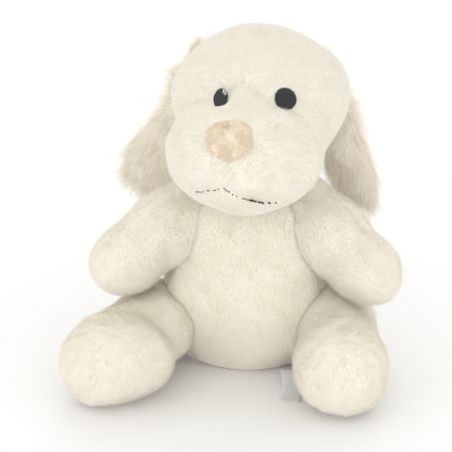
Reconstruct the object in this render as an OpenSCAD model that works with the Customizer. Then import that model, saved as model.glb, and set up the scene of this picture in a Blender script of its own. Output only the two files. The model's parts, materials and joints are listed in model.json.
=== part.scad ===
// Seated plush dog: sewn skin panels over filling, with sewn-on head, ears, arms, legs and tail.
// The origin is on the floor under the middle of the seat; the dog looks along -Y.

/* [Head] */
// Half width of the skull
skull_w = 55.5; // [52:0.5:57]
// Half depth of the skull, front to back
skull_d = 50; // [46:0.5:54]
// Half height of the skull
skull_h = 46; // [44:0.5:50]
// Half width of the muzzle
muzzle_w = 49; // [45:0.5:50]
// Half depth of the muzzle
muzzle_d = 40; // [37:0.5:42]
// Half height of the muzzle
muzzle_h = 39; // [36:0.5:40]
// Turn of the head at rest, towards the dog's right
head_turn = 9; // [0:1:12]
// Lean of the head at rest, towards the dog's left
head_lean = 0; // [0:0.5:2]
// Height of the neck pivot above the floor
neck_z = 120; // [119:0.5:126]
// Sideways place of the neck pivot, towards the dog's left
neck_x = 9; // [4:0.5:10]
// Diameter of each embroidered eye
eye_d = 13.5; // [9:0.5:16]

/* [Ears] */
// Length of an ear from its sewn root to its tip
ear_len = 108; // [96:1:110]
// Width of an ear at its widest
ear_w = 44; // [34:1:46]
// Outward lean of the dog's left ear at rest
lean_left = 6; // [6:0.5:20]
// Outward lean of the dog's right ear at rest
lean_right = 27; // [14:1:28]

/* [Torso] */
// Half width of the belly
belly_w = 46.5; // [42:0.5:47]
// Half depth of the belly
belly_d = 41; // [37:0.5:44]
// Half width of the chest
chest_w = 35; // [30:0.5:36]
// Half depth of the chest
chest_d = 32; // [28:0.5:34]
// Sideways lean of the torso's top, towards the dog's left
torso_lean = 3; // [0:0.5:6]
// Height of the top of the torso
torso_top = 117; // [112:0.5:117]

/* [Arms] */
// Radius of the arm where it is sewn on
shoulder_r = 17; // [14:0.5:17.5]
// Radius of the paw
paw_r = 22; // [19:0.5:23]
// Length from the shoulder pivot to the tip of the paw
arm_len = 73; // [68:1:76]
// Slope of the dog's left arm below level at rest
drop_left = 36; // [33:1:44]
// Slope of the dog's right arm below level at rest
drop_right = 33; // [30:1:44]
// Turn of the arm towards the front at rest
arm_forward = 40; // [35:1:45]

/* [Legs] */
// Radius of the leg where it is sewn on
hip_r = 21; // [18:0.5:21.5]
// Radius of the foot
foot_r = 28.5; // [26:0.5:29]
// Length from the hip pivot to the middle of the sole
leg_len = 88; // [84:1:94]
// Outward turn of the dog's left leg at rest
splay_left = 3; // [1:1:14]
// Outward turn of the dog's right leg at rest
splay_right = 13; // [6:1:16]

/* [Cloth] */
// Thickness of the plush cloth with its pile
cloth_t = 3; // [2:0.25:3.5]

/* [Hidden] */

cream = [0.94, 0.91, 0.82];
warm_cream = [0.90, 0.85, 0.74];
nose_beige = [0.88, 0.80, 0.70];
charcoal = [0.2, 0.19, 0.19];
fill_white = [0.97, 0.97, 0.96];
satin_white = [0.96, 0.96, 0.97];

// Exponent that rounds the join where ellipsoids merge into one form
merge_power = 10;

// Grid sizes: columns go round a form, rows go along it
head_cols = 32;
torso_cols = 36;
torso_rows = 14;
arm_cols = 20;
arm_rows = 14;
leg_cols = 24;
leg_rows = 16;
tail_cols = 12;
tail_rows = 8;

// ---- Shared geometry ----

// Smooth largest of several radii
function merged(radii) = pow([for (r = radii) pow(r, merge_power)] * [for (r = radii) 1], 1 / merge_power);

// Distance from a point inside an ellipsoid to its surface, along a direction
function reach(dir, offset, semi) =
    let (
        d = [for (k = [0:2]) dir[k] / semi[k]],
        c = [for (k = [0:2]) offset[k] / semi[k]],
        along = d * c
    )
    (along + sqrt(along * along - (d * d) * (c * c - 1))) / (d * d);

// Radius of a round form's cross-section at a place along its axis
function section(at, centre, half_len, radius) =
    radius * sqrt(max(0, 1 - pow((at - centre) / half_len, 2)));

// Rows spaced closely at both ends of a form
function eased(k, rows, low, high) = (low + high) / 2 - (high - low) / 2 * cos(180 * k / rows);

// A four-sided face as two triangles, leaving out one that a pole closes up
function quad(a, b, c, d) = [
    for (f = [[a, b, c], [a, c, d]]) if (f[0] != f[1] && f[1] != f[2] && f[2] != f[0]) f
];

// Number of a grid point: side is 0 on the skin and 1 on the lining, and a pole is one point
function grid_id(side, i, j, cols, last_row) =
    (side * cols + (j == 0 || j == last_row ? 0 : i % cols)) * (last_row + 1) + j;

// Steps from a cell to its four corners, in order round it
cell_steps = [[0, 0], [1, 0], [1, 1], [0, 1]];

function cell_ids(side, i, j, cols, last_row) =
    [for (step = cell_steps) grid_id(side, i + step[0], j + step[1], cols, last_row)];

// One sewn panel: the cells of a form that covers(i, j) picks, between its skin and its lining,
// with a seam wall along every open edge
module patch(skin, lining, covers) {
    cols = len(skin);
    last_row = len(skin[0]) - 1;
    points = [for (layer = [skin, lining], column = layer, p = column) p];
    faces = [
        for (i = [0:cols - 1], j = [0:last_row - 1])
            if (covers(i, j))
                let (
                    outer = cell_ids(0, i, j, cols, last_row),
                    inner = cell_ids(1, i, j, cols, last_row),
                    open = [
                        j > 0 && !covers(i, j - 1),
                        !covers((i + 1) % cols, j),
                        j < last_row - 1 && !covers(i, j + 1),
                        !covers((i + cols - 1) % cols, j)
                    ]
                )
                each concat(
                    quad(outer[0], outer[1], outer[2], outer[3]),
                    quad(inner[2], inner[1], inner[0], inner[3]),
                    [
                        for (k = [0:3])
                            if (open[k])
                                let (n = (k + 1) % 4)
                                each quad(outer[n], outer[k], inner[k], inner[n])
                    ]
                )
    ];
    polyhedron(points, faces);
}

// A panel of columns i0 to i1 and rows j0 to j1
module panel(skin, lining, i0, i1, j0, j1) {
    cols = len(skin);
    patch(skin, lining, function(i, j) j >= j0 && j < j1 && (i - i0 + 2 * cols) % cols < i1 - i0);
}

// The filling inside a form: the closed surface of its lining
module filling(lining) {
    cols = len(lining);
    last_row = len(lining[0]) - 1;
    points = [for (column = lining, p = column) p];
    faces = [
        for (i = [0:cols - 1], j = [0:last_row - 1])
            let (corner = cell_ids(0, i, j, cols, last_row))
            each quad(corner[0], corner[1], corner[2], corner[3])
    ];
    polyhedron(points, faces);
}

// ---- Head: rings round a line from the nose to the back of the head ----

// Middle of the head's rays, from the neck pivot
head_core = [0, -14, 47];
// Centres of the three ellipsoids that merge into the head, from the neck pivot
skull_at = [0, -2, 59];
muzzle_at = [0, -42, 35];
nape_at = [0, 1, 40];
nape_semi = [40, 38, 38];
// Upward tilt of the line through the nose
nose_tilt = 6;
// Angle of the nose patch's edge from the nose line, and its shares of width and of three soft corners
nose_edge_angle = 12.9;
nose_widen = 0.10;
nose_corner = 0.06;
// Angle of each seam ring from the nose line, against the angle round it from the top
muzzle_seam = [[0, 39], [25, 34], [47, 33], [70, 46], [112, 66], [146, 76], [180, 88]];
mouth_ring = [[0, 24], [60, 24], [100, 34], [146, 46], [157, 34], [180, 24]];
// Rows at which the nose, mouth and muzzle seams lie, and the last row
nose_row = 3;
mouth_row = 6;
muzzle_row = 9;
head_rows = 17;
// Columns at the top and bottom centre seams and at the two mouth corners
top_col = 8;
bottom_col = 24;
mouth_from_col = 21;
mouth_to_col = 27;

function from_top(turn) = abs((turn - 90 + 540) % 360 - 180);
function nose_edge(turn) =
    nose_edge_angle * (1 + nose_widen * cos(2 * turn) + nose_corner * cos(3 * (turn - 270)));
function mix(a, b, t) = a + (b - a) * t;

function ring_angle(turn, row) =
    let (
        u = from_top(turn),
        nose = nose_edge(turn),
        mouth = lookup(u, mouth_ring),
        seam = lookup(u, muzzle_seam)
    )
    row <= nose_row ? nose * row / nose_row :
    row <= mouth_row ? mix(nose, mouth, (row - nose_row) / (mouth_row - nose_row)) :
    row <= muzzle_row ? mix(mouth, seam, (row - mouth_row) / (muzzle_row - mouth_row)) :
    mix(seam, 180, (row - muzzle_row) / (head_rows - muzzle_row));

function head_ray(angle, turn) =
    let (x = sin(angle) * cos(turn), y = -cos(angle), z = sin(angle) * sin(turn))
    [x, y * cos(nose_tilt) + z * sin(nose_tilt), z * cos(nose_tilt) - y * sin(nose_tilt)];

function head_reach(dir) = merged([
    reach(dir, skull_at - head_core, [skull_w, skull_d, skull_h]),
    reach(dir, muzzle_at - head_core, [muzzle_w, muzzle_d, muzzle_h]),
    reach(dir, nape_at - head_core, nape_semi)
]);

function head_point(angle, turn, inset) =
    let (dir = head_ray(angle, turn)) head_core + dir * (head_reach(dir) - inset);

function head_grid(inset) = [
    for (i = [0:head_cols - 1]) [
        for (j = [0:head_rows]) head_point(ring_angle(360 * i / head_cols, j), 360 * i / head_cols, inset)
    ]
];

head_skin = head_grid(0);
head_lining = head_grid(cloth_t);

module on_neck() {
    translate([neck_x, 0, neck_z]) rotate([0, head_lean, 0]) rotate([0, 0, -head_turn]) children();
}

module head_side_left() {
    color(cream) on_neck()
        panel(head_skin, head_lining, bottom_col, top_col + head_cols, muzzle_row, head_rows);
}

module head_side_right() {
    color(cream) on_neck() panel(head_skin, head_lining, top_col, bottom_col, muzzle_row, head_rows);
}

function over_chin(i, j) = j >= mouth_row && i >= mouth_from_col && i < mouth_to_col;

module muzzle_panel() {
    color(cream) on_neck()
        patch(head_skin, head_lining, function(i, j) j >= nose_row && j < muzzle_row && !over_chin(i, j));
}

module chin_panel() {
    color(cream) on_neck() panel(head_skin, head_lining, mouth_from_col, mouth_to_col, mouth_row, muzzle_row);
}

module nose_patch() {
    color(nose_beige) on_neck() panel(head_skin, head_lining, 0, head_cols, 0, nose_row);
}

module head_stuffing() {
    color(fill_white) on_neck() filling(head_lining);
}

// Angles round the nose line and from it at which each eye sits
left_eye = [39, 44.5];
right_eye = [120, 30];
eye_cols = 24;
eye_rows = 3;
// Embroidery stands this far off the rounded form, clear of the cloth's facets, and is this thick
eye_lift = 1.2;
mouth_lift = 0.7;
closing_lift = 0.3;
stitch_t = 0.9;

// Small round patch of satin stitch on the head, domed as the skin under it
function eye_grid(place, lift) =
    let (spread = asin(eye_d / 2 / head_reach(head_ray(place[1], place[0]))))
    [
        for (i = [0:eye_cols - 1]) [
            for (j = [0:eye_rows + 1])
                let (
                    edge = min(j, eye_rows) / eye_rows * spread,
                    a = place[1] + edge * cos(360 * i / eye_cols),
                    t = place[0] + edge * sin(360 * i / eye_cols) / sin(place[1])
                )
                head_point(a, t, -lift)
        ]
    ];

module eye(place) {
    outer = eye_grid(place, eye_lift + stitch_t);
    inner = eye_grid(place, eye_lift);
    color(charcoal) on_neck() panel(outer, inner, 0, eye_cols, 0, eye_rows);
}

module eye_left() {
    eye(left_eye);
}

module eye_right() {
    eye(right_eye);
}

// The mouth is a row of straight stitches over the seam between muzzle and chin
mouth_stitches = 26;
stitch_w = 1.1;
stitch_fill = 0.8;

function mouth_line(k) =
    let (turn = 360 / head_cols * mix(mouth_from_col, mouth_to_col, k))
    [ring_angle(turn, mouth_row), turn];

module mouth_stitch(from, to) {
    a = mouth_line(from);
    b = mouth_line(to);
    // Six points: a triangular prism lying on the cloth
    feet = [
        for (end = [a, b], side = [-0.5, 0.5])
            head_point(end[0] + side * stitch_w, end[1], -mouth_lift)
    ];
    tops = [for (end = [a, b]) head_point(end[0], end[1], -mouth_lift - stitch_t)];
    points = concat(feet, tops);
    ends = [[4, 1, 0], [5, 2, 3]];
    sides = [[2, 0, 1], [3, 2, 1], [5, 4, 0], [2, 5, 0], [3, 1, 4], [5, 3, 4]];
    polyhedron(points, concat(ends, sides));
}

module mouth_thread() {
    color(charcoal) on_neck()
        for (k = [0:mouth_stitches - 1])
            mouth_stitch(k / mouth_stitches, (k + stitch_fill) / mouth_stitches);
}

// ---- Neck: the ring of strong thread that closes the neck seam ----

neck_thread_ring = 11;
neck_thread_r = 0.8;
neck_thread_y = 1;
neck_thread_lift = 1.2;
neck_thread_cols = 48;
neck_thread_facets = 16;

module neck_thread() {
    color(cream) translate([neck_x, neck_thread_y, torso_top + neck_thread_lift])
        rotate_extrude($fn = neck_thread_cols) translate([neck_thread_ring, 0])
        circle(r = neck_thread_r, $fn = neck_thread_facets);
}

// ---- Ears: a leaf of two cloths, sewn on at the back of the head's side ----

// Place of the ear's root from the neck pivot, for the dog's left ear
ear_root = [43, 30, 75];
// Turn of the leaf so that its lining faces forward and inward
ear_twist = -14;
// Backward slope of a hanging ear
ear_back = 8;
ear_cols = 20;
ear_rows = 7;
ear_curl = 7;
ear_half_t = 3;
// Width at the root as a share of the widest, and the share of its thickness that the rim loses
ear_root_share = 0.45;
ear_rim_loss = 0.75;

// Half width of the leaf at a place along it, from 0 at the root to 1 at the tip
function ear_half_w(u) =
    ear_w / 2 * mix(ear_root_share, 1, sin(110 * u)) * sqrt(1 - pow(abs(u * 2 - 1), 5));

// A point of the leaf: u runs down it, v across it, and depth is how far it is off the middle layer
function ear_point(u, v, depth) =
    [ear_half_w(u) * v, ear_curl * (v * v + u * u - 0.6 * u) + depth, -ear_len * u];

// A leaf layer: rings grow from the middle of the leaf to its outline
function ear_grid(depth) = [
    for (i = [0:ear_cols - 1]) [
        for (j = [0:ear_rows])
            let (
                r = min(1, j / (ear_rows - 1)),
                angle = 360 * i / ear_cols,
                u = 0.5 - 0.5 * r * cos(angle),
                chord = sqrt(max(0, 1 - pow(2 * u - 1, 2))),
                v = chord == 0 ? 0 : r * sin(angle) / chord
            )
            ear_point(u, v, depth * (1 - ear_rim_loss * pow(r, 4)))
    ]
];

module ear_leaf(from_depth, to_depth) {
    skin = ear_grid(to_depth);
    lining = ear_grid(from_depth);
    panel(skin, lining, 0, ear_cols, 0, ear_rows - 1);
}

module on_ear(side) {
    lean = side > 0 ? lean_left : lean_right;
    on_neck() translate([side * ear_root[0], ear_root[1], ear_root[2]])
        rotate([0, -side * lean, 0]) rotate([ear_back, 0, side * ear_twist]) children();
}

module ear_left_outer() {
    color(warm_cream) on_ear(1) ear_leaf(0, ear_half_t);
}

module ear_left_inner() {
    color(cream) on_ear(1) ear_leaf(-ear_half_t, 0);
}

module ear_right_outer() {
    color(warm_cream) on_ear(-1) ear_leaf(0, ear_half_t);
}

module ear_right_inner() {
    color(cream) on_ear(-1) ear_leaf(-ear_half_t, 0);
}

// ---- Torso: rings round the vertical ----

belly_z = 40;
belly_h = 56;
chest_z = 76;
chest_h = torso_top - chest_z;
torso_y = -2;
// Columns of the seams: belly from back_right's edge to back_left's edge
belly_from_col = 20;
belly_to_col = 34;
back_col = 9;

function torso_radius(z, belly_r, chest_r) =
    merged([section(z, belly_z, belly_h, belly_r), section(z, chest_z, chest_h, chest_r)]);

function lean_at(z) = torso_lean * pow(z / torso_top, 2);

function torso_point(turn, z, inset) = [
    max(0, torso_radius(z, belly_w, chest_w) - inset) * cos(turn) + lean_at(z),
    max(0, torso_radius(z, belly_d, chest_d) - inset) * sin(turn) + torso_y,
    z
];

// Rows go down from the neck; the last two are the seat's edge and middle, on top of the seat panel
function torso_grid(inset) = [
    for (i = [0:torso_cols - 1]) [
        for (j = [0:torso_rows])
            let (
                turn = 360 * i / torso_cols,
                z = eased(min(j, torso_rows - 1), torso_rows - 1, torso_top - inset, cloth_t)
            )
            j == 0 || j == torso_rows ? [lean_at(z), torso_y, z] : torso_point(turn, z, inset)
    ]
];

torso_skin = torso_grid(0);
torso_lining = torso_grid(cloth_t);

module belly_panel() {
    color(cream) panel(torso_skin, torso_lining, belly_from_col, belly_to_col, 0, torso_rows - 1);
}

module back_panel_left() {
    color(cream) panel(torso_skin, torso_lining, belly_to_col, back_col + torso_cols, 0, torso_rows - 1);
}

module back_panel_right() {
    color(cream) panel(torso_skin, torso_lining, back_col, belly_from_col, 0, torso_rows - 1);
}

module seat_panel() {
    color(cream) linear_extrude(cloth_t)
        polygon([for (i = [0:torso_cols - 1]) let (p = torso_skin[i][torso_rows - 1]) [p[0], p[1]]]);
}

// A weighted bag keeps the dog upright: a low bun that rests on the seat panel
bag_r = 24;
bag_h = 17;
bag_cols = 24;
bag_rows = 8;

function bag_grid() = [
    for (i = [0:bag_cols - 1]) [
        for (j = [0:bag_rows])
            let (turn = 360 * i / bag_cols, a = 90 * (1 - min(j, bag_rows - 1) / (bag_rows - 1)))
            [0, torso_y, cloth_t] + [bag_r * cos(a) * cos(turn), bag_r * cos(a) * sin(turn), bag_h * sin(a)]
            * (j == bag_rows ? 0 : 1)
    ]
];

module bean_bag() {
    color(warm_cream) filling(bag_grid());
}

// The filling has a hollow for the bag
module torso_stuffing() {
    color(fill_white) resize([0, 0, 0]) difference() {
        filling(torso_lining);
        filling(bag_grid());
    }
}

// Ladder stitch that closes the back seam: short bars across it
closing_stitches = 11;
closing_from_z = 24;
closing_pitch = 5;
closing_w = 5;

module closing_thread() {
    color(cream)
        for (k = [0:closing_stitches - 1])
            let (z = closing_from_z + k * closing_pitch, y = torso_radius(z, belly_d, chest_d) + torso_y)
            translate([lean_at(z) - closing_w / 2, y + closing_lift, z])
            cube([closing_w, stitch_t, stitch_t]);
}

// Care label: a folded ribbon from the seam between seat and belly, lying towards the front
label_w = 13;
label_len = 34;
label_t = 0.8;
label_x = 33;
label_y = -40;
label_turn = -8;
// Height of the ribbon's underside above the floor
label_lift = 0.3;

module care_label() {
    color(satin_white) translate([label_x, label_y, 0]) rotate([0, 0, label_turn])
        translate([-label_w / 2, -label_len, label_lift]) cube([label_w, label_len, label_t]);
}

// ---- Limbs: rings round a line; each limb is drawn hanging down from its pivot ----

function limb_point(turn, at, radius) = [radius * cos(turn), radius * sin(turn), -at];

// Middle and half length of the forearm and the paw as shares of the arm's length, and the
// forearm's radius as a share of the paw's
forearm_at = 0.36;
forearm_half = 0.5;
forearm_share = 0.92;
paw_half = 0.34;

function arm_radius(at) = merged([
    section(at, 0, shoulder_r, shoulder_r),
    section(at, forearm_at * arm_len, forearm_half * arm_len, forearm_share * paw_r),
    section(at, (1 - paw_half) * arm_len, paw_half * arm_len, paw_r)
]);

function arm_grid(inset) = [
    for (i = [0:arm_cols - 1]) [
        for (j = [0:arm_rows])
            let (at = eased(j, arm_rows, -shoulder_r + inset, arm_len - inset))
            limb_point(360 * i / arm_cols, at, max(0, arm_radius(at) - inset) * min(j, arm_rows - j, 1))
    ]
];

arm_skin = arm_grid(0);
arm_lining = arm_grid(cloth_t);
shoulder = [47, -4, 101];

// Puts a limb made for the dog's left on either side
module on_arm(side) {
    translate([side * shoulder[0] + lean_at(shoulder[2]), shoulder[1], shoulder[2]])
        rotate([0, 0, side > 0 ? -arm_forward : 180 + arm_forward])
        rotate([0, (side > 0 ? drop_left : drop_right) - 90, 0]) children();
}

module arm_left_front() {
    color(cream) on_arm(1) panel(arm_skin, arm_lining, arm_cols / 2, arm_cols, 0, arm_rows);
}

module arm_left_back() {
    color(cream) on_arm(1) panel(arm_skin, arm_lining, 0, arm_cols / 2, 0, arm_rows);
}

module arm_left_stuffing() {
    color(fill_white) on_arm(1) filling(arm_lining);
}

module arm_right_front() {
    color(cream) on_arm(-1) panel(arm_skin, arm_lining, 0, arm_cols / 2, 0, arm_rows);
}

module arm_right_back() {
    color(cream) on_arm(-1) panel(arm_skin, arm_lining, arm_cols / 2, arm_cols, 0, arm_rows);
}

module arm_right_stuffing() {
    color(fill_white) on_arm(-1) filling(arm_lining);
}

// The foot flattens towards its sole: a higher squareness gives a flatter sole
foot_len = 29;
foot_squareness = 2.6;
sole_rows = 4;
// Middle and half length of the thigh as shares of the leg's length, and its radius as a share of the hip's
thigh_at = 0.35;
thigh_half = 0.6;
thigh_share = 0.98;

function foot_section(at) =
    let (q = abs((at - leg_len + foot_len) / foot_len))
    q >= 1 ? 0 : foot_r * pow(1 - pow(q, foot_squareness), 1 / foot_squareness);

function leg_radius(at) = merged([
    section(at, 0, hip_r, hip_r),
    section(at, thigh_at * leg_len, thigh_half * leg_len, thigh_share * hip_r),
    foot_section(at)
]);

function leg_grid(inset) = [
    for (i = [0:leg_cols - 1]) [
        for (j = [0:leg_rows])
            let (at = eased(j, leg_rows, -hip_r + inset, leg_len - inset))
            limb_point(360 * i / leg_cols, at, max(0, leg_radius(at) - inset) * min(j, leg_rows - j, 1))
    ]
];

leg_skin = leg_grid(0);
leg_lining = leg_grid(cloth_t);
hip_place = [64.5, -20];

module on_leg(side, splay) {
    translate([side * hip_place[0], hip_place[1], foot_r])
        rotate([0, 0, side * splay]) rotate([-90, 0, 0]) children();
}

module leg_upper(side, splay) {
    color(cream) on_leg(side, splay)
        panel(leg_skin, leg_lining, leg_cols / 2, leg_cols, 0, leg_rows - sole_rows);
}

module leg_lower(side, splay) {
    color(cream) on_leg(side, splay)
        panel(leg_skin, leg_lining, 0, leg_cols / 2, 0, leg_rows - sole_rows);
}

module leg_sole(side, splay) {
    color(cream) on_leg(side, splay)
        panel(leg_skin, leg_lining, 0, leg_cols, leg_rows - sole_rows, leg_rows);
}

module leg_stuffing(side, splay) {
    color(fill_white) on_leg(side, splay) filling(leg_lining);
}

module leg_left_upper() {
    leg_upper(1, splay_left);
}

module leg_left_lower() {
    leg_lower(1, splay_left);
}

module leg_left_sole() {
    leg_sole(1, splay_left);
}

module leg_left_stuffing() {
    leg_stuffing(1, splay_left);
}

module leg_right_upper() {
    leg_upper(-1, splay_right);
}

module leg_right_lower() {
    leg_lower(-1, splay_right);
}

module leg_right_sole() {
    leg_sole(-1, splay_right);
}

module leg_right_stuffing() {
    leg_stuffing(-1, splay_right);
}

// ---- Tail ----

tail_r = 8;
tail_len = 36;
tail_rise = 35;
tail_t = 2;
tail_root = [0, 48.5, 20];
// Half length of the tail's fuller end as a share of its length, and that end's radius as a share of tail_r
tail_half = 0.45;
tail_share = 0.95;

function tail_radius(at) = merged([
    section(at, 0, tail_r, tail_r),
    section(at, (1 - tail_half) * tail_len, tail_half * tail_len, tail_share * tail_r)
]);

function tail_grid(inset) = [
    for (i = [0:tail_cols - 1]) [
        for (j = [0:tail_rows])
            let (at = eased(j, tail_rows, -tail_r + inset, tail_len - inset))
            limb_point(360 * i / tail_cols, at, max(0, tail_radius(at) - inset) * min(j, tail_rows - j, 1))
    ]
];

tail_skin = tail_grid(0);
tail_lining = tail_grid(tail_t);

module on_tail() {
    translate(tail_root) rotate([90 + tail_rise, 0, 0]) children();
}

module tail_upper() {
    color(cream) on_tail() panel(tail_skin, tail_lining, 0, tail_cols / 2, 0, tail_rows);
}

module tail_lower() {
    color(cream) on_tail() panel(tail_skin, tail_lining, tail_cols / 2, tail_cols, 0, tail_rows);
}

module tail_stuffing() {
    color(fill_white) on_tail() filling(tail_lining);
}

head_side_left();
head_side_right();
muzzle_panel();
chin_panel();
nose_patch();
eye_left();
eye_right();
mouth_thread();
head_stuffing();
neck_thread();
ear_left_outer();
ear_left_inner();
ear_right_outer();
ear_right_inner();
belly_panel();
back_panel_left();
back_panel_right();
seat_panel();
torso_stuffing();
bean_bag();
closing_thread();
care_label();
arm_left_front();
arm_left_back();
arm_left_stuffing();
arm_right_front();
arm_right_back();
arm_right_stuffing();
leg_left_upper();
leg_left_lower();
leg_left_sole();
leg_left_stuffing();
leg_right_upper();
leg_right_lower();
leg_right_sole();
leg_right_stuffing();
tail_upper();
tail_lower();
tail_stuffing();
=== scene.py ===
"""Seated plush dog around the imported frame.

Sewn plush skins with real pile, an embroidered face and a satin care label. Lengths are in
millimetres until a mesh is made. Side 1 is the dog's left and -1 its right.
"""

import json
import math

import bpy
import numpy as np
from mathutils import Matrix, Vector


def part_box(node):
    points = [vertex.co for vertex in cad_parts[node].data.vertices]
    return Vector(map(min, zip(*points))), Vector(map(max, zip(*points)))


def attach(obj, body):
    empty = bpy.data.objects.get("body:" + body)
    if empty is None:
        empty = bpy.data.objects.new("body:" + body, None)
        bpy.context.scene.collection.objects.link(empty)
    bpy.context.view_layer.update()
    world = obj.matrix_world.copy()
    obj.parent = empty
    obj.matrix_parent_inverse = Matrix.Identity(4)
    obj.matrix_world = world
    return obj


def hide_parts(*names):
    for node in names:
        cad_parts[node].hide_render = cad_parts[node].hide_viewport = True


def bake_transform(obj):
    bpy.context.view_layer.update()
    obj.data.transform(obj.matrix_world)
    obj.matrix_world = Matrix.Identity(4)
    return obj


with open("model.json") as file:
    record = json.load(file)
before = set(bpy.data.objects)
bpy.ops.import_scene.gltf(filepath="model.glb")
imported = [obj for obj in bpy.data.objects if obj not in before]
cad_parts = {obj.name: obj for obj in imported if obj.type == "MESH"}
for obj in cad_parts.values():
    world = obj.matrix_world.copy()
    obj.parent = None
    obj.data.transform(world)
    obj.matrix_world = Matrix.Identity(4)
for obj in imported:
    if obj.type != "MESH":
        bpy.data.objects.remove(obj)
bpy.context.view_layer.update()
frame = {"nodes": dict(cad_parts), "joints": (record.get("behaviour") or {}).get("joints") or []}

MM = 0.001
SEED = 11
UP = np.array([0.0, 0.0, 1.0])
# Strands to the square millimetre
PILE_DENSITY = 4.2
# Width of a short strand, its angle off the cloth, and how far and how closely tips bunch
STRAND = 0.18
PILE_LIFT = 31
CLUMP = 0.25
CLUMP_SIZE = 2.0
SIDES = {1: "left", -1: "right"}
joints = {joint["name"]: joint for joint in frame["joints"]}


def pivot(name):
    """Where a joint turns, in millimetres."""
    return np.array(joints[name]["pos_m"], float) / MM


def unit(vectors):
    vectors = np.asarray(vectors, float)
    return vectors / np.maximum(np.linalg.norm(vectors, axis=-1, keepdims=True), 1e-9)


def turned(points, axis, degrees):
    """Points turned about an axis through the origin, by the right-hand rule."""
    a = unit(axis)
    t = math.radians(degrees)
    k = np.array([[0, -a[2], a[1]], [a[2], 0, -a[0]], [-a[1], a[0], 0]])
    matrix = np.eye(3) + math.sin(t) * k + (1 - math.cos(t)) * (k @ k)
    return np.asarray(points, float) @ matrix.T


def ripple(points, wavelength, seed, count=14):
    """Smooth random field between about -1 and 1, made of plane waves near one wavelength."""
    rng = np.random.default_rng(seed)
    waves = unit(rng.normal(size=(count, 3))) * (2 * math.pi / wavelength)
    waves *= rng.uniform(0.7, 1.3, (count, 1))
    phase = rng.uniform(0, 2 * math.pi, count)
    return np.sin(points @ waves.T + phase).sum(axis=-1) / math.sqrt(count / 2) / 1.6


def ripple_vector(points, wavelength, seed):
    return np.stack([ripple(points, wavelength, seed + k) for k in range(3)], axis=-1)


def smoothstep(x, low, high):
    t = np.clip((x - low) / (high - low), 0, 1)
    return t * t * (3 - 2 * t)


def bump(x, centre, width):
    """A soft hump of height 1."""
    return np.exp(-(((x - centre) / width) ** 2))


# ---- Materials ----


def principled(name, colour, roughness, sheen=0.0, subsurface=0.0):
    material = bpy.data.materials.new(name)
    material.use_nodes = True
    shader = material.node_tree.nodes["Principled BSDF"]
    shader.inputs["Base Color"].default_value = (*colour, 1)
    shader.inputs["Roughness"].default_value = roughness
    shader.inputs["Sheen Weight"].default_value = sheen
    shader.inputs["Specular IOR Level"].default_value = 0.25
    if subsurface:
        shader.inputs["Subsurface Weight"].default_value = subsurface
        shader.inputs["Subsurface Radius"].default_value = (1.0, 0.8, 0.55)
        shader.inputs["Subsurface Scale"].default_value = 0.003
    return material, shader


def new_node(tree, kind, **values):
    """A new shader node with some of its inputs set."""
    made = tree.nodes.new("ShaderNode" + kind)
    for name, value in values.items():
        made.inputs[name].default_value = value
    return made


def ramp_node(tree, stops):
    ramp = tree.nodes.new("ShaderNodeValToRGB")
    elements = ramp.color_ramp.elements
    elements[0].position, elements[0].color = stops[0][0], (*stops[0][1], 1)
    elements[1].position, elements[1].color = stops[-1][0], (*stops[-1][1], 1)
    for place, colour in stops[1:-1]:
        element = elements.new(place)
        element.color = (*colour, 1)
    return ramp


STRAND_SHADES = [(0.0, (0.95, 0.935, 0.90)), (0.5, (0.985, 0.98, 0.97)), (1.0, (1.0, 1.0, 1.0))]


def pile_material(name, root, tip):
    """Pile: colour runs from root to tip along U, and from strand to strand along V. The darker, warmer
    roots are painted shade deep in the pile.
    """
    material, shader = principled(name, tip, 0.85)
    tree = material.node_tree
    uv = tree.nodes.new("ShaderNodeUVMap")
    uv.uv_map = "OFBake"
    split = tree.nodes.new("ShaderNodeSeparateXYZ")
    tree.links.new(uv.outputs["UV"], split.inputs[0])
    # Painted shade: each strand darkens and warms towards its root.
    along = ramp_node(tree, [(0.0, root), (0.6, tip), (1.0, tip)])
    shade = ramp_node(tree, STRAND_SHADES)
    mix = tree.nodes.new("ShaderNodeMix")
    mix.data_type = "RGBA"
    mix.blend_type = "MULTIPLY"
    mix.inputs["Factor"].default_value = 1.0
    tree.links.new(split.outputs["X"], along.inputs[0])
    tree.links.new(split.outputs["Y"], shade.inputs[0])
    tree.links.new(along.outputs["Color"], mix.inputs["A"])
    tree.links.new(shade.outputs["Color"], mix.inputs["B"])
    tree.links.new(mix.outputs["Result"], shader.inputs["Base Color"])
    return material


def cloth_material(name, low, high, scale, bump_height, roughness=0.9, sheen=0.3):
    """Cloth backing with a fine knit grain and gentle mottling."""
    material, shader = principled(name, high, roughness, sheen=sheen, subsurface=0.3)
    tree = material.node_tree
    place = new_node(tree, "TexCoord")
    noise = new_node(tree, "TexNoise", Scale=scale, Detail=6)
    ramp = ramp_node(tree, [(0.3, low), (0.7, high)])
    tree.links.new(place.outputs["Object"], noise.inputs["Vector"])
    tree.links.new(noise.outputs["Fac"], ramp.inputs[0])
    tree.links.new(ramp.outputs["Color"], shader.inputs["Base Color"])
    grain = new_node(tree, "TexNoise", Scale=scale * 8, Detail=3)
    relief = new_node(tree, "Bump", Strength=0.5, Distance=bump_height)
    tree.links.new(place.outputs["Object"], grain.inputs["Vector"])
    tree.links.new(grain.outputs["Fac"], relief.inputs["Height"])
    tree.links.new(relief.outputs["Normal"], shader.inputs["Normal"])
    return material


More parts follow.
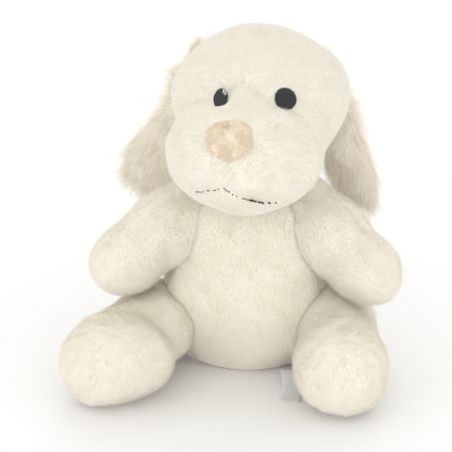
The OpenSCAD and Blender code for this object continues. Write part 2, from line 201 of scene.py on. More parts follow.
def thread_material(name, colour, roughness, sheen):
    """Twisted thread: fine slanted bands of painted shade and painted highlight along the twist."""
    material, shader = principled(name, colour, roughness, sheen=sheen)
    tree = material.node_tree
    place = new_node(tree, "TexCoord")
    wave = new_node(tree, "TexWave", Scale=900, Distortion=2)
    # Painted shade in the twist's grooves and painted highlight on its ridges
    twist_shade = tuple(c * 0.6 for c in colour)
    light = tuple(min(1, c * 1.5 + 0.01) for c in colour)
    ramp = ramp_node(tree, [(0.2, twist_shade), (0.8, light)])
    tree.links.new(place.outputs["Object"], wave.inputs["Vector"])
    tree.links.new(wave.outputs["Fac"], ramp.inputs[0])
    tree.links.new(ramp.outputs["Color"], shader.inputs["Base Color"])
    return material


def plush_backing(name, low, high):
    return cloth_material(name, low, high, 60, 0.0003, sheen=0.0)


# Pile, from its root colour to its tip colour. Apart from the nose's, these are lit and shaded copies of one
# cream plush. The head and neck keep the darkest, and the limb, ear and torso copies are painted lighter:
# painted light that lifts the shade those parts get.
cream_pile = pile_material("cream_pile", (0.89, 0.845, 0.735), (0.915, 0.895, 0.83))
# Painted light: the limbs' copy, lighter than the head's
limb_pile_painted_light = pile_material("limb_pile_painted_light", (0.93, 0.88, 0.765), (0.955, 0.93, 0.86))
# Painted light: the ears' copy, lighter still
ear_pile = pile_material("ear_pile", (0.97, 0.89, 0.755), (0.995, 0.955, 0.87))
nose_pile = pile_material("nose_pile", (0.905, 0.785, 0.635), (0.935, 0.85, 0.725))
# Painted light: the torso's copy, lighter than the head's
torso_pile_painted_light = pile_material("torso_pile_painted_light", (0.955, 0.895, 0.77), (0.98, 0.95, 0.865))
# Cloth, from its darker mottling to its lighter. The limbs' copy and the torso's and ears' copy are painted
# lighter than the head's: painted light that lifts the shade those parts get.
cream_cloth = plush_backing("cream_cloth", (0.87, 0.83, 0.72), (0.90, 0.87, 0.78))
# Painted light: the limbs' copy, lighter than the head's
limb_cloth_painted_light = plush_backing("limb_cloth_painted_light", (0.92, 0.87, 0.76), (0.945, 0.91, 0.82))
# Painted light: the torso's and ears' copy, lighter than the head's
torso_and_ear_cloth_painted_light = plush_backing("torso_and_ear_cloth_painted_light", (0.95, 0.89, 0.77), (0.98, 0.94, 0.85))
nose_cloth = cloth_material("nose_cloth", (0.89, 0.77, 0.60), (0.93, 0.83, 0.68), 80, 0.0004)
satin = cloth_material("satin_ribbon", (0.90, 0.895, 0.885), (0.96, 0.955, 0.95), 300, 0.00005,
                       roughness=0.35, sheen=0.2)
# Thread
eye_thread = thread_material("eye_thread", (0.030, 0.029, 0.032), 0.42, 0.2)
mouth_thread = thread_material("mouth_thread", (0.035, 0.026, 0.022), 0.5, 0.2)
cream_thread = thread_material("cream_thread", (0.80, 0.74, 0.62), 0.6, 0.3)

# ---- Meshes ----


def mesh_object(name, points, quads=None, triangles=None, material=None, smooth=True):
    mesh = bpy.data.meshes.new(name)
    faces = []
    sizes = []
    for block in (quads, triangles):
        if block is not None and len(block):
            faces.append(np.asarray(block, np.int32).ravel())
            sizes.append(np.full(len(block), np.asarray(block).shape[1], np.int32))
    corners = np.concatenate(faces)
    sizes = np.concatenate(sizes)
    mesh.vertices.add(len(points))
    mesh.vertices.foreach_set("co", (np.asarray(points, float) * MM).astype(np.float32).ravel())
    mesh.loops.add(len(corners))
    mesh.loops.foreach_set("vertex_index", corners)
    mesh.polygons.add(len(sizes))
    starts = np.concatenate([[0], np.cumsum(sizes)[:-1]]).astype(np.int32)
    mesh.polygons.foreach_set("loop_start", starts)
    mesh.update(calc_edges=True)
    mesh.polygons.foreach_set("use_smooth", np.full(len(sizes), smooth))
    if material:
        mesh.materials.append(material)
    piece = bpy.data.objects.new(name, mesh)
    bpy.context.scene.collection.objects.link(piece)
    return piece


def grid_faces(cols, rows):
    """Faces of a closed form whose columns wrap and whose first and last rows are single points."""
    i, j = np.meshgrid(np.arange(cols), np.arange(1, rows - 2), indexing="ij")
    n = (i + 1) % cols
    inner = rows - 2
    spot = lambda a, b: a * inner + b - 1
    quads = np.stack([spot(i, j), spot(n, j), spot(n, j + 1), spot(i, j + 1)], axis=-1).reshape(-1, 4)
    k = np.arange(cols)
    m = (k + 1) % cols
    first, last = cols * inner, cols * inner + 1
    cap_a = np.stack([np.full(cols, first), spot(m, 1), spot(k, 1)], axis=-1)
    cap_b = np.stack([spot(k, inner), spot(m, inner), np.full(cols, last)], axis=-1)
    return quads, np.concatenate([cap_a, cap_b])


def closed_form(name, grid, material):
    """A smooth closed skin from a (columns, rows, 3) grid, whose end rows are poles."""
    cols, rows = grid.shape[:2]
    quads, caps = grid_faces(cols, rows)
    points = np.concatenate([grid[:, 1:-1].reshape(-1, 3), grid[:1, 0], grid[:1, -1]])
    return mesh_object(name, points, quads, caps, material)


def grid_normals(grid):
    around = np.roll(grid, -1, axis=0) - np.roll(grid, 1, axis=0)
    along = np.gradient(grid, axis=1)
    normals = unit(np.cross(around, along))
    middle = grid.mean(axis=(0, 1))
    if np.mean(np.sum(normals * (grid - middle), axis=-1)) < 0:
        normals = -normals
    for row, near in ((0, 1), (-1, -2)):
        normals[:, row] = unit(normals[:, near].mean(axis=0))
    return normals


def scatter(grid, per_mm2, rng):
    """Random places on a grid's cells, evenly by area: points, normals, and grid coordinates."""
    normals = grid_normals(grid)
    cols, rows = grid.shape[:2]
    wrap = np.concatenate([grid, grid[:1]], axis=0)
    wrap_n = np.concatenate([normals, normals[:1]], axis=0)
    a, b = wrap[:-1, :-1], wrap[1:, :-1]
    d, c = wrap[:-1, 1:], wrap[1:, 1:]
    area = 0.5 * np.linalg.norm(np.cross(c - a, d - b), axis=-1)
    count = int(area.sum() * per_mm2)
    chance = (area / area.sum()).ravel()
    cell = rng.choice(chance.size, size=count, p=chance)
    i, j = np.divmod(cell, rows - 1)
    u, v = rng.random(count), rng.random(count)
    mix = lambda w: (
        w[i, j] * ((1 - u) * (1 - v))[:, None]
        + w[i + 1, j] * (u * (1 - v))[:, None]
        + w[i + 1, j + 1] * (u * v)[:, None]
        + w[i, j + 1] * ((1 - u) * v)[:, None]
    )
    return mix(wrap), unit(mix(wrap_n)), (i + u) / cols, (j + v) / (rows - 1)


# Most strands to a piece: straight ones, and ones that bend
MOST_STRAIGHT = 48000
MOST_BENT = 11000


def pile(dress, name, roots, normals, flow, length, *rest, segments=1, **options):
    """Pile in as many pieces as keep each one light; dress() attaches each piece to a body or bakes its
    placement into its mesh.
    """
    most = MOST_STRAIGHT if segments == 1 else MOST_BENT
    length = np.broadcast_to(length, len(roots))
    for k, start in enumerate(range(0, len(roots), most)):
        part = slice(start, start + most)
        piece = strands("%s_%d" % (name, k + 1), roots[part], normals[part], flow[part],
                        length[part], *rest, segments=segments, **options)
        dress(piece)


def short_pile(dress, name, roots, normals, flow, length, material, rng,
               clump=CLUMP, clump_size=CLUMP_SIZE):
    """The short plush of the face, body and limbs."""
    pile(dress, name, roots, normals, flow, length, STRAND, PILE_LIFT, material, rng,
         clump=clump, clump_size=clump_size)


# Scatter of a strand's heading across and off the cloth, in degrees
STRAND_SWAY = 14
STRAND_RISE = 8
# The share of its width that a strand loses, its thickness to its width, and its root's flare
# and depth
STRAND_TAPER = 0.45
STRAND_FLAT = 0.35
ROOT_FLARE = 1.1
ROOT_DEPTH = 0.4


def strands(name, roots, normals, flow, length, width, lift, material, rng,
            segments=1, clump=0.0, clump_size=3.0, droop=0.0):
    """Closed three-sided hairs. flow is the comb direction, lift its angle off the cloth."""
    count = len(roots)
    flow = unit(flow - normals * np.sum(flow * normals, axis=1, keepdims=True))
    side = unit(np.cross(normals, flow))
    sway = np.radians(rng.normal(0, STRAND_SWAY, count))[:, None]
    flow = flow * np.cos(sway) + side * np.sin(sway)
    side = unit(np.cross(normals, flow))
    rise = np.radians(lift + rng.normal(0, STRAND_RISE, count))[:, None]
    heading = flow * np.cos(rise) + normals * np.sin(rise)
    size = (length * rng.uniform(0.75, 1.15, count))[:, None]
    pull = ripple_vector(roots, clump_size, 71) * clump
    rings = []
    for k in range(segments):
        t = k / segments
        centre = roots + heading * size * t + pull * t * t - UP * droop * t * t * size / 10
        spread = width * (1 - STRAND_TAPER * t) * (1 if k else ROOT_FLARE)
        if k == 0:
            centre = centre - normals * ROOT_DEPTH
        frame_b = unit(np.cross(heading, side))
        ring = [
            centre + spread * 0.5 * (math.cos(a) * side + STRAND_FLAT * math.sin(a) * frame_b)
            for a in (0.5, 0.5 + 2.0944, 0.5 + 4.1888)
        ]
        rings += ring
    tip = roots + heading * size + pull - UP * droop * size / 10
    points = np.stack(rings + [tip], axis=1)
    per = 3 * segments + 1
    faces = [[0, 2, 1]]
    along = [[0.0, 0.0, 0.0]]
    for k in range(segments - 1):
        for s in range(3):
            a, b = 3 * k + s, 3 * k + (s + 1) % 3
            faces += [[a, b, b + 3], [a, b + 3, a + 3]]
            low, high = k / segments, (k + 1) / segments
            along += [[low, low, high], [low, high, high]]
    top = 3 * (segments - 1)
    for s in range(3):
        faces.append([top + s, top + (s + 1) % 3, per - 1])
        low = (segments - 1) / segments
        along.append([low, low, 1.0])
    faces = np.array(faces)
    along = np.array(along)
    triangles = (np.arange(count)[:, None, None] * per + faces[None]).reshape(-1, 3)
    points = points.reshape(-1, 3)
    piece = mesh_object(name, points, triangles=triangles, material=material, smooth=False)
    shade = np.clip(0.5 + 0.28 * ripple(roots, 14, 5) + 0.2 * rng.normal(size=count), 0.02, 0.98)
    uv = np.empty((count, len(faces), 3, 2), np.float32)
    uv[..., 0] = np.clip(along, 0.01, 0.99)[None]
    uv[..., 1] = shade[:, None, None]
    layer = piece.data.uv_layers.new(name="OFBake")
    layer.data.foreach_set("uv", uv.ravel())
    return piece


def tube(points, radii, sides=6):
    """Points and faces of a closed round tube along a path, in millimetres."""
    path = np.asarray(points, float)
    along = unit(np.gradient(path, axis=0))
    guide = UP if abs(along[0] @ UP) < 0.9 else np.array([1.0, 0, 0])
    side = unit(np.cross(along, guide))
    other = np.cross(along, side)
    angles = np.arange(sides) / sides * 2 * math.pi
    ring = np.cos(angles)[None, :, None] * side[:, None]
    ring = ring + np.sin(angles)[None, :, None] * other[:, None]
    body = path[:, None] + ring * np.broadcast_to(radii, len(path))[:, None, None]
    count = len(path)
    k, s = np.meshgrid(np.arange(count - 1), np.arange(sides), indexing="ij")
    n = (s + 1) % sides
    low, high = k * sides, (k + 1) * sides
    quads = np.stack([low + s, low + n, high + n, high + s], axis=-1).reshape(-1, 4)
    ends = count * sides
    s = np.arange(sides)
    n = (s + 1) % sides
    caps = np.concatenate([
        np.stack([np.full(sides, ends), n, s], axis=-1),
        np.stack([np.full(sides, ends + 1), (count - 1) * sides + s, (count - 1) * sides + n], axis=-1),
    ])
    return np.concatenate([body.reshape(-1, 3), path[:1], path[-1:]]), quads, caps


def tubes_object(name, paths, radii, material, sides=6):
    """One piece made of a closed round tube along each path."""
    points, quads, caps = [], [], []
    base = 0
    for path, radius in zip(paths, radii):
        p, q, c = tube(path, radius, sides)
        points.append(p)
        quads.append(q + base)
        caps.append(c + base)
        base += len(p)
    points, quads, caps = (np.concatenate(part) for part in (points, quads, caps))
    return mesh_object(name, points, quads, caps, material)


# ---- Head ----

# The head hangs on the neck, turned towards the dog's right, and is shaped round its core
NECK = pivot("head_nod") - np.array([0, 0, 4.0])
HEAD_TURN = 9.0
HEAD_CORE = np.array([0.0, -14.0, 47.0])
NOSE_TILT = math.radians(6)
# Centre and half sizes of the forms that merge into the head, from the neck
SKULL = (np.array([0.0, -2, 59]), np.array([55.2, 50, 44.4]))
MUZZLE = (np.array([0.0, -42, 35]), np.array([49.0, 40, 37.4]))
NAPE = (np.array([0.0, 1, 40]), np.array([40.0, 38, 38]))
HEAD_R = 55
NOSE_EDGE = 11.7
# Depths of the creases that the seams pull in, the nose's rise, and the width of a seam
MUZZLE_CREASE = 1.2
BROW_CREASE = 0.8
MOUTH_CREASE = 1.3
NOSE_CREASE = 0.9
CENTRE_CREASE = 0.5
NOSE_RISE = 1.6
NOSE_SPREAD = 11
SEAM_WIDTH = 2.2
# Angle of the muzzle seam from the nose line, by turn from the top, and of the mouth, by turn
MUZZLE_SEAM = ([0, 25, 47, 70, 112, 146, 180], [39, 34, 33, 46, 66, 76, 88])
MOUTH_LINE = ([239, 248, 265, 292, 306], [38.5, 32.3, 25.0, 35.2, 49.0])


def reach(directions, ellipsoid):
    """Distance from the head's core to an ellipsoid's surface."""
    centre, semi = ellipsoid
    d = directions / semi
    c = (centre - HEAD_CORE) / semi
    along = d @ c
    square = np.sum(d * d, axis=-1)
    return (along + np.sqrt(np.maximum(along * along - square * (c @ c - 1), 0))) / square


def head_ray(angle, turn):
    """Direction at an angle from the nose line, turned round it from the dog's left over the top."""
    a, t = np.radians(angle), np.radians(turn)
    x = np.sin(a) * np.cos(t)
    y = -np.cos(a)
    z = np.sin(a) * np.sin(t)
    tilt_c, tilt_s = math.cos(NOSE_TILT), math.sin(NOSE_TILT)
    return np.stack([x, y * tilt_c + z * tilt_s, z * tilt_c - y * tilt_s], axis=-1)


def from_top(turn):
    """How far a turn is from straight up, 0 to 180."""
    return np.abs((turn - 90 + 540) % 360 - 180)


def seam_angle(turn):
    return np.interp(from_top(turn), *MUZZLE_SEAM)


def nose_angle(turn):
    """Where the rounded, three-cornered nose patch ends."""
    widen = 0.13 * np.cos(np.radians(2 * turn))
    return NOSE_EDGE * (1 + widen + 0.05 * np.cos(np.radians(3 * (turn - 270))))


def head_local(angle, turn, lift=0.0):
    """Point on the head's skin, from the neck, with its sewn hollows and creases."""
    rays = head_ray(angle, turn)
    size = sum(reach(rays, e) ** 10 for e in (SKULL, MUZZLE, NAPE)) ** 0.1
    top = from_top(turn)
    seam = seam_angle(turn)
    brow = bump(top, 0, 80)
    calm = 1 - 0.75 * bump(turn, EYES["right"][0], 15)
    size -= (MUZZLE_CREASE + BROW_CREASE * brow) * bump(angle, seam, 4.2) * calm
    mouth = np.interp(turn, *MOUTH_LINE)
    size -= MOUTH_CREASE * bump(angle, mouth, 3.0) * smoothstep(top, 136, 146)
    size -= NOSE_CREASE * bump(angle, nose_angle(turn), 2.5)
    size += NOSE_RISE * bump(angle, 0, NOSE_SPREAD)
    arc = np.sin(np.radians(angle)) * HEAD_R
    centre_seam = bump(np.radians(top) * arc, 0, SEAM_WIDTH)
    centre_seam = centre_seam + bump(np.radians(180 - top) * arc, 0, SEAM_WIDTH)
    size -= CENTRE_CREASE * centre_seam * smoothstep(angle, seam, seam + 8)
    points = HEAD_CORE + rays * size[..., None]
    size += 0.9 * ripple(points, 46, 3) + 0.35 * ripple(points, 17, 4)
    return HEAD_CORE + rays * (size + lift)[..., None]


def head_place(points):
    return turned(points, UP, -HEAD_TURN) + NECK


def head_points(angle, turn, lift=0.0):
    return head_place(head_local(np.asarray(angle, float), np.asarray(turn, float), lift))


# Length of the pile on the face, and the fineness of the head's mesh
FACE_PILE = 2.7
HEAD_COLS = 160
HEAD_ROWS = 110


def head_grid():
    turn = np.arange(HEAD_COLS) * 360.0 / HEAD_COLS
    angle = np.linspace(0, 180, HEAD_ROWS)
    t, a = np.meshgrid(turn, angle, indexing="ij")
    return head_points(a, t)


def head_coords(points):
    """Angle from the nose line and turn round it, of points on the head."""
    local = turned(points - NECK, UP, HEAD_TURN) - HEAD_CORE
    rays = unit(local)
    line = np.array([0, -math.cos(NOSE_TILT), math.sin(NOSE_TILT)])
    rise = np.array([0, math.sin(NOSE_TILT), math.cos(NOSE_TILT)])
    angle = np.degrees(np.arccos(np.clip(rays @ line, -1, 1)))
    return angle, np.degrees(np.arctan2(rays @ rise, rays[:, 0])) % 360


# The turn and angle at which each eye sits, how much pile narrows and shortens it, whether it
# lies flat on the brow's slope or faces forward, and how far its stitches lean
EYE_D = 13.5
EYES = {"left": (38.0, 45.3), "right": (119.5, 27.4)}
EYE_SHAPE = {"left": (1.0, 1.0), "right": (0.62, 0.94)}
EYE_FACING = {"left": 0.0, "right": 1.0}
EYE_STITCH_LEAN = {"left": 14, "right": 2}
# Radius of the head under an eye, and the count and radius of the tufts that stray over the right one
EYE_DOME_R = 52
STRAY_TUFTS = 10
STRAY_R = 0.13


def eye_frame(side):
    """Centre of an eye, and its outward, sideways and upward directions."""
    turn, angle = EYES[side]
    centre = head_points(angle, turn)
    wide = [head_points(angle + da, turn + dt) for da, dt in ((-9, 0), (9, 0), (0, -14), (0, 14))]
    out = unit(np.cross(wide[1] - wide[0], wide[3] - wide[2]))
    if out @ (centre - head_place(HEAD_CORE[None])[0]) < 0:
        out = -out
    out = unit(out + EYE_FACING[side] * np.array([0.1, -1.0, 0.25]))
    up = unit(UP - out * (out @ UP))
    return centre + out * 1.5 * EYE_FACING[side], out, np.cross(up, out), up


def head_flow(points):
    """The nap runs back and down from the nose, with slow swirls."""
    nose = head_points(4.0, 90.0)
    away = unit(points - nose)
    return unit(away + np.array([0, 0.15, -0.55]) + 0.22 * ripple_vector(points, 34, 21))


def dresser(body, slot, *blend):
    """Fixes a piece to a body. When blend is given, its other body and span are not used: the piece's
    placement is only baked into its mesh and it is left unattached.
    """
    def dress(piece):
        if blend:
            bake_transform(piece)
        else:
            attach(piece, body)
    return dress


def build_head():
    """The head's skin and its pile, parted round the eyes, nose and mouth."""
    grid = head_grid()
    skin = closed_form("head_cloth", grid, cream_cloth)
    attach(skin, "head")
    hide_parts("head_side_left", "head_side_right", "muzzle_panel", "chin_panel", "head_stuffing")
    rng = np.random.default_rng(SEED)
    points, normals, _, _ = scatter(grid, PILE_DENSITY, rng)
    angle, turn = head_coords(points)
    keep = angle > nose_angle(turn) + 0.6
    flow = head_flow(points)
    flow = unit(flow - normals * np.sum(flow * normals, axis=1, keepdims=True))
    reach_mm = FACE_PILE * 0.85
    for side in EYES:
        centre, out, across, up = eye_frame(side)
        for share in (0.0, 0.5, 1.0):
            spot = points + flow * reach_mm * share - centre
            inside = np.linalg.norm(spot, axis=1) < EYE_D / 2 - 0.1 * share
            if side == "right":
                stray = (spot @ across > 1.5) & (spot @ up > -1.5) & (rng.random(len(points)) < 0.75)
                inside &= ~stray
            keep &= ~inside
    tip_angle, tip_turn = head_coords(points + flow * reach_mm)
    over_root = angle - np.interp(turn, *MOUTH_LINE)
    over_tip = tip_angle - np.interp(tip_turn, *MOUTH_LINE)
    crossing = (over_root * over_tip < 0) | (np.abs(over_root) < 0.45)
    keep &= ~(crossing & (from_top(turn) > 145) & (rng.random(len(points)) < 0.9))
    points, normals = points[keep], normals[keep]
    short_pile(dresser("head", "cream_plush"), "head_pile", points, normals, head_flow(points),
               FACE_PILE, cream_pile, rng, clump=0.45, clump_size=3.0)


def build_nose():
    """The beige nose patch, set into the head, with its own longer pile."""
    turn = np.arange(48) * 7.5
    share = np.linspace(0, 1, 14)
    t, s = np.meshgrid(turn, share, indexing="ij")
    angle = s * (nose_angle(t) + 0.4)
    top = head_points(angle, t, 0.5)
    under = head_points(angle, t, -1.6)
    grid = np.concatenate([top[:, :-1], under[:, ::-1]], axis=1)
    patch = closed_form("nose_cloth", grid, nose_cloth)
    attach(patch, "head")
    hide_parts("nose_patch")
    rng = np.random.default_rng(SEED + 1)
    points, normals, _, _ = scatter(top, 3.2, rng)
    centre = head_points(1.0, 90.0)
    flow = 0.35 * unit(points - centre) + np.array([0.25, 0, -0.9])
    flow = flow + 0.7 * ripple_vector(points, 14, 31)
    pile(dresser("head", "nose_plush"), "nose_pile", points, normals, flow, 3.2, 0.26, 34,
         nose_pile, rng, segments=2, clump=0.6, droop=0.6)


def build_eye(side):
    """Satin stitch: close parallel threads across a disc, sinking into the cloth at their ends."""
    centre, out, across, up = eye_frame(side)
    rng = np.random.default_rng(SEED + 2)
    pitch = 0.5
    thread_r = 0.3
    paths, radii = [], []
    half = EYE_D / 2
    narrow, short = EYE_SHAPE[side]
    lean = math.radians(EYE_STITCH_LEAN[side])
    run = up * math.cos(lean) + across * math.sin(lean)
    step = across * math.cos(lean) - up * math.sin(lean)
    for layer in (0, 1):
        for x in np.arange(-half + 0.25, half, pitch):
            chord = math.sqrt(max(half * half - x * x, 0.05)) + rng.normal(0, 0.18)
            t = np.linspace(-1, 1, 9)
            height = (0.75 - layer * 0.45) * (1 - np.abs(t) ** 6) + 0.2 * (1 - (x / half) ** 2)
            reach_along = (t * max(chord, 0.4))[:, None]
            flat = centre + step * narrow * (x + layer * pitch / 2) + run * short * reach_along
            drop = np.sum((flat - centre) ** 2, axis=1) / 2 / EYE_DOME_R
            paths.append(flat + out * (height - drop + 0.5)[:, None])
            radii.append(thread_r)
    eye = tubes_object("eye_" + side + "_stitch", paths, radii, eye_thread, sides=5)
    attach(eye, "head")
    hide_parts("eye_" + side)
    if side == "right":
        tufts = []
        for _ in range(STRAY_TUFTS):
            root = centre + across * rng.uniform(1.0, 3.4) + up * rng.uniform(4.9, 6.4)
            fall = rng.uniform(3.5, 6.5)
            t = np.linspace(0, 1, 6)[:, None]
            sway = across * rng.normal(0, 0.5)
            tufts.append(root - up * fall * t + sway * t + out * (0.9 + 1.2 * t * (1 - t) * 2))
        radii = [STRAY_R] * len(tufts)
        strays = tubes_object("eye_stray_pile", tufts, radii, cream_thread, sides=4)
        dresser("head", "cream_plush")(strays)


# Places along the mouth for a stitch, the turn at its right end, and how far round it runs
MOUTH_STITCHES = 40
MOUTH_START = 239.0
MOUTH_SPAN = 67.0
# The share of the way along at which the mouth is boldest, and how far the bold stretch reaches
BOLD_AT = 0.80
BOLD_REACH = 0.10


def build_mouth():
    """A line of small dark stitches, partly sunk in the pile and boldest towards the dog's left."""
    rng = np.random.default_rng(SEED + 3)
    paths, radii = [], []
    for k in range(MOUTH_STITCHES):
        place = k / (MOUTH_STITCHES - 1)
        bold = math.exp(-(((place - BOLD_AT) / BOLD_REACH) ** 2))
        if rng.random() < 0.38 * (1 - bold):
            continue
        stitch = rng.uniform(0.12, 0.36) + 0.3 * bold
        for row in range(1 + int(bold > 0.35)):
            along = place + np.linspace(0, stitch, 5) / MOUTH_STITCHES
            turn = MOUTH_START + MOUTH_SPAN * along
            angle = np.interp(turn, *MOUTH_LINE) + (row * 0.75 - 0.2)
            lift = 1.5 + 0.7 * bold + 0.6 * np.sin(np.linspace(0, math.pi, 5)) - 0.2 * row
            paths.append(head_points(angle + rng.normal(0, 0.18), turn, lift))
            radii.append(rng.uniform(0.24, 0.4) + 0.16 * bold + 0.06 * place)
    mouth = tubes_object("mouth_stitches", paths, radii, mouth_thread, sides=5)
    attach(mouth, "head")
    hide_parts("mouth_thread")


# ---- Ears ----

# Length, greatest width, lean outward, inward bow and place of each ear
EAR_LEN = {1: 106.0, -1: 119.0}
EAR_W = {1: 38.0, -1: 45.0}
EAR_LEAN = {1: 8.2, -1: 22.0}
EAR_BOW = {1: 3.0, -1: 6.0}
EAR_SHIFT = {1: (-8.0, -1.0, 1.0), -1: (-5.5, 1.5, 0.8)}


def ear_half_w(u, side):
    widen = 0.5 + 0.5 * smoothstep(u, 0.2, 0.8)
    return EAR_W[side] / 2 * widen * np.sqrt(1 - np.abs(u * 2 - 1) ** 5)


def ear_local(u, v, depth, side):
    """A point on the ear's leaf: u runs down it, v across, depth off its middle."""
    fold = 2.2 * np.sin(3.4 * u + 1.5 * v) + 1.4 * np.sin(9 * u - 2.2 * v)
    curl = 7 * (v * v + u * u - 0.6 * u) + fold * smoothstep(u, 0.08, 0.5)
    bow = -side * EAR_BOW[side] * np.sin(math.pi * np.clip(u / 0.9, 0, 1)) ** 2
    return np.stack([ear_half_w(u, side) * v + bow, curl + depth, -EAR_LEN[side] * u], axis=-1)


def ear_place(points, side):
    """From the leaf's own frame to the ear's place on the head."""
    points = turned(points, (1, 0, 0), 8.0)
    points = turned(points, UP, -14.0 * side)
    points = turned(points, (0, 1, 0), -side * EAR_LEAN[side])
    points = turned(points, UP, -HEAD_TURN) + np.array(EAR_SHIFT[side])
    return points + pivot("ear_%s_lift" % SIDES[side])


def ear_layer(side, low, high):
    """One cloth of the ear as a closed padded leaf between two depths."""
    around = np.arange(72) * 5.0
    share = np.linspace(0, 1, 15)
    a, r = np.meshgrid(np.radians(around), share, indexing="ij")
    u = 0.5 - 0.5 * r * np.cos(a)
    chord = np.sqrt(np.maximum(1 - (2 * u - 1) ** 2, 1e-6))
    v = np.clip(r * np.sin(a) / chord, -1, 1)
    thin = 1 - 0.85 * r ** 4
    u = 0.985 * u - 0.01
    u = np.clip(u, 0.0005, 0.9995)
    top = ear_place(ear_local(u, v, high * thin, side), side)
    under = ear_place(ear_local(u, v, low * thin, side), side)
    return np.concatenate([top[:, :-1], under[:, ::-1]], axis=1), top, under


def ear_middle(side, depth=0.0):
    """The middle of the ear's leaf, or a point above it."""
    half, zero, height = (np.array([value]) for value in (0.5, 0.0, depth))
    return ear_place(ear_local(half, zero, height, side), side)[0]


def ear_dresser(name, side, slot):
    root = pivot(name + "_lift")
    down = unit(np.array([side * math.sin(math.radians(EAR_LEAN[side])), 0, -1.0]))
    return dresser(name, slot, "head", root - down * 4, root + down * 14)


# Pile on an ear's outer and inner cloth: density, length, lift, width, segments, bunching, droop,
# and how much longer it grows at the rim
SHAG = (1.9, 11.0, 24, 0.36, 3, 3.0, 2.5, 0)
LINING = (2.1, 7.2, 30, 0.22, 2, 2.6, 1.2, 0.9)
EAR_CLUMP_SIZE = 5.0


def build_ear(side):
    """Two cloths sewn at the rim, with shag outside and a shorter lining inside."""
    name = "ear_" + SIDES[side]
    rng = np.random.default_rng(SEED + 4 + side)
    outer, outer_face, _ = ear_layer(side, 0.2, 4.2)
    inner, _, inner_face = ear_layer(side, -3.4, -0.2)
    for label, grid, slot in (("_outer", outer, "ear_plush"), ("_inner", inner, "cream_plush")):
        leaf = closed_form(name + label + "_cloth", grid, torso_and_ear_cloth_painted_light)
        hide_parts(name + label)
        ear_dresser(name, side, slot)(leaf)
    middle = ear_middle(side)
    down = unit(middle - pivot(name + "_lift"))
    for label, face, facing, slot, looks in (
        ("shag", outer_face, 1, "ear_plush", SHAG),
        ("lining", inner_face, -1, "cream_plush", LINING),
    ):
        per_mm2, length, lift, width, segments, clump, droop, rim_growth = looks
        points, normals, _, rim = scatter(face, per_mm2, rng)
        outward = (ear_middle(side, 1.0) - middle) * facing
        if np.mean(normals @ outward) < 0:
            normals = -normals
        from_middle = unit(points - middle)
        flow = down + (0.25 + 0.9 * rim ** 3)[:, None] * from_middle
        flow = flow + 0.5 * ripple_vector(points, 22, 41)
        normals = unit(normals + from_middle * (0.9 * rim ** 6)[:, None])
        longer = length * (0.75 + 0.35 * rim + rim_growth * rim ** 4)
        pile(ear_dresser(name, side, slot), name + "_" + label, points, normals, flow, longer,
             width, lift, ear_pile, rng, segments=segments, clump=clump,
             clump_size=EAR_CLUMP_SIZE, droop=droop)


# ---- Torso, limbs and tail: rings round a line ----


def section(at, centre, half, radius):
    return radius * np.sqrt(np.maximum(0, 1 - ((at - centre) / half) ** 2))


def merged(*radii):
    """The larger of several radii, with the step between them rounded off."""
    return sum(r ** 10 for r in radii) ** 0.1


TORSO_TOP = 117.0
# Heights of the belly's and chest's middles, the belly's half height, and the half widths and
# half depths of the two
BELLY_Z = 40
CHEST_Z = 76
BELLY_HALF = 56
TORSO_WIDTHS = (48.0, 37.0)
TORSO_DEPTHS = (41.0, 32.0)
TORSO_Y = -2
# Turns at which the torso's seams run down, from the dog's left over the back
TORSO_SEAMS = (200, 340, 90)
# The lowest that any plush sits above the floor
FLOOR_GAP = 0.6


def torso_lean(z):
    return 3.0 * (z / TORSO_TOP) ** 2


def torso_half(z):
    chest = TORSO_TOP - CHEST_Z
    side, deep = (
        merged(section(z, BELLY_Z, BELLY_HALF, belly), section(z, CHEST_Z, chest, upper))
        for belly, upper in (TORSO_WIDTHS, TORSO_DEPTHS)
    )
    return side, deep


def torso_gap(points):
    """Roughly how far points are outside the torso."""
    side, deep = torso_half(np.clip(points[..., 2], 2, TORSO_TOP - 4))
    across = (points[..., 0] - torso_lean(points[..., 2])) / side
    share = np.hypot(across, (points[..., 1] - TORSO_Y) / deep)
    return np.maximum((share - 1) * (side + deep) / 2, points[..., 2] - TORSO_TOP)


def fillet(grid, gap, size):
    """Swells a skin where it runs close to another, so that the two sewn forms flow together."""
    near = np.maximum(size - np.abs(gap), 0) / size
    return grid + grid_normals(grid) * (near ** 2 * size / 4)[..., None]


def torso_points(turn, z):
    side, deep = torso_half(z)
    x = side * np.cos(turn)
    y = deep * np.sin(turn) + TORSO_Y
    return np.stack([x + torso_lean(z), y, z + 0 * x], axis=-1)


def torso_grid():
    """The torso's skin, with its seams, lumps and swelling towards the limbs."""
    turn = np.radians(np.arange(144) * 2.5)
    rows = 84
    z = TORSO_TOP / 2 + (TORSO_TOP - 1) / 2 * np.cos(np.linspace(0.02, math.pi, rows))
    t, h = np.meshgrid(turn, z, indexing="ij")
    grid = torso_points(t, h)
    middle = np.array([0.0, TORSO_Y, 50])
    out = unit(grid - middle)
    seam = np.zeros(t.shape)
    for place in TORSO_SEAMS:
        gap = np.degrees(np.angle(np.exp(1j * (t - math.radians(place)))))
        seam += bump(np.radians(gap) * 44, 0, SEAM_WIDTH)
    swell = 1.1 * ripple(grid, 48, 13) + 0.4 * ripple(grid, 18, 14) - 1.1 * seam
    swell *= smoothstep(h, 0.5, 14)
    grid = grid + out * swell[..., None]
    for side in (1, -1):
        grid = fillet(grid, limb_gap(grid, side, arm_unplace, arm_radius, ARM_LEN), ARM_FILLET[side])
        grid = fillet(grid, limb_gap(grid, side, leg_unplace, leg_radius, LEG_LEN), LEG_FILLET)
    grid[..., 2] = np.maximum(grid[..., 2], FLOOR_GAP)
    grid[:, -1] = [0, TORSO_Y, FLOOR_GAP]
    grid[:, 0] = grid[:, 1].mean(axis=0)
    return grid


def torso_flow(points):
    return unit(np.array([0, 0, -1.0]) + 0.22 * ripple_vector(points, 30, 51))


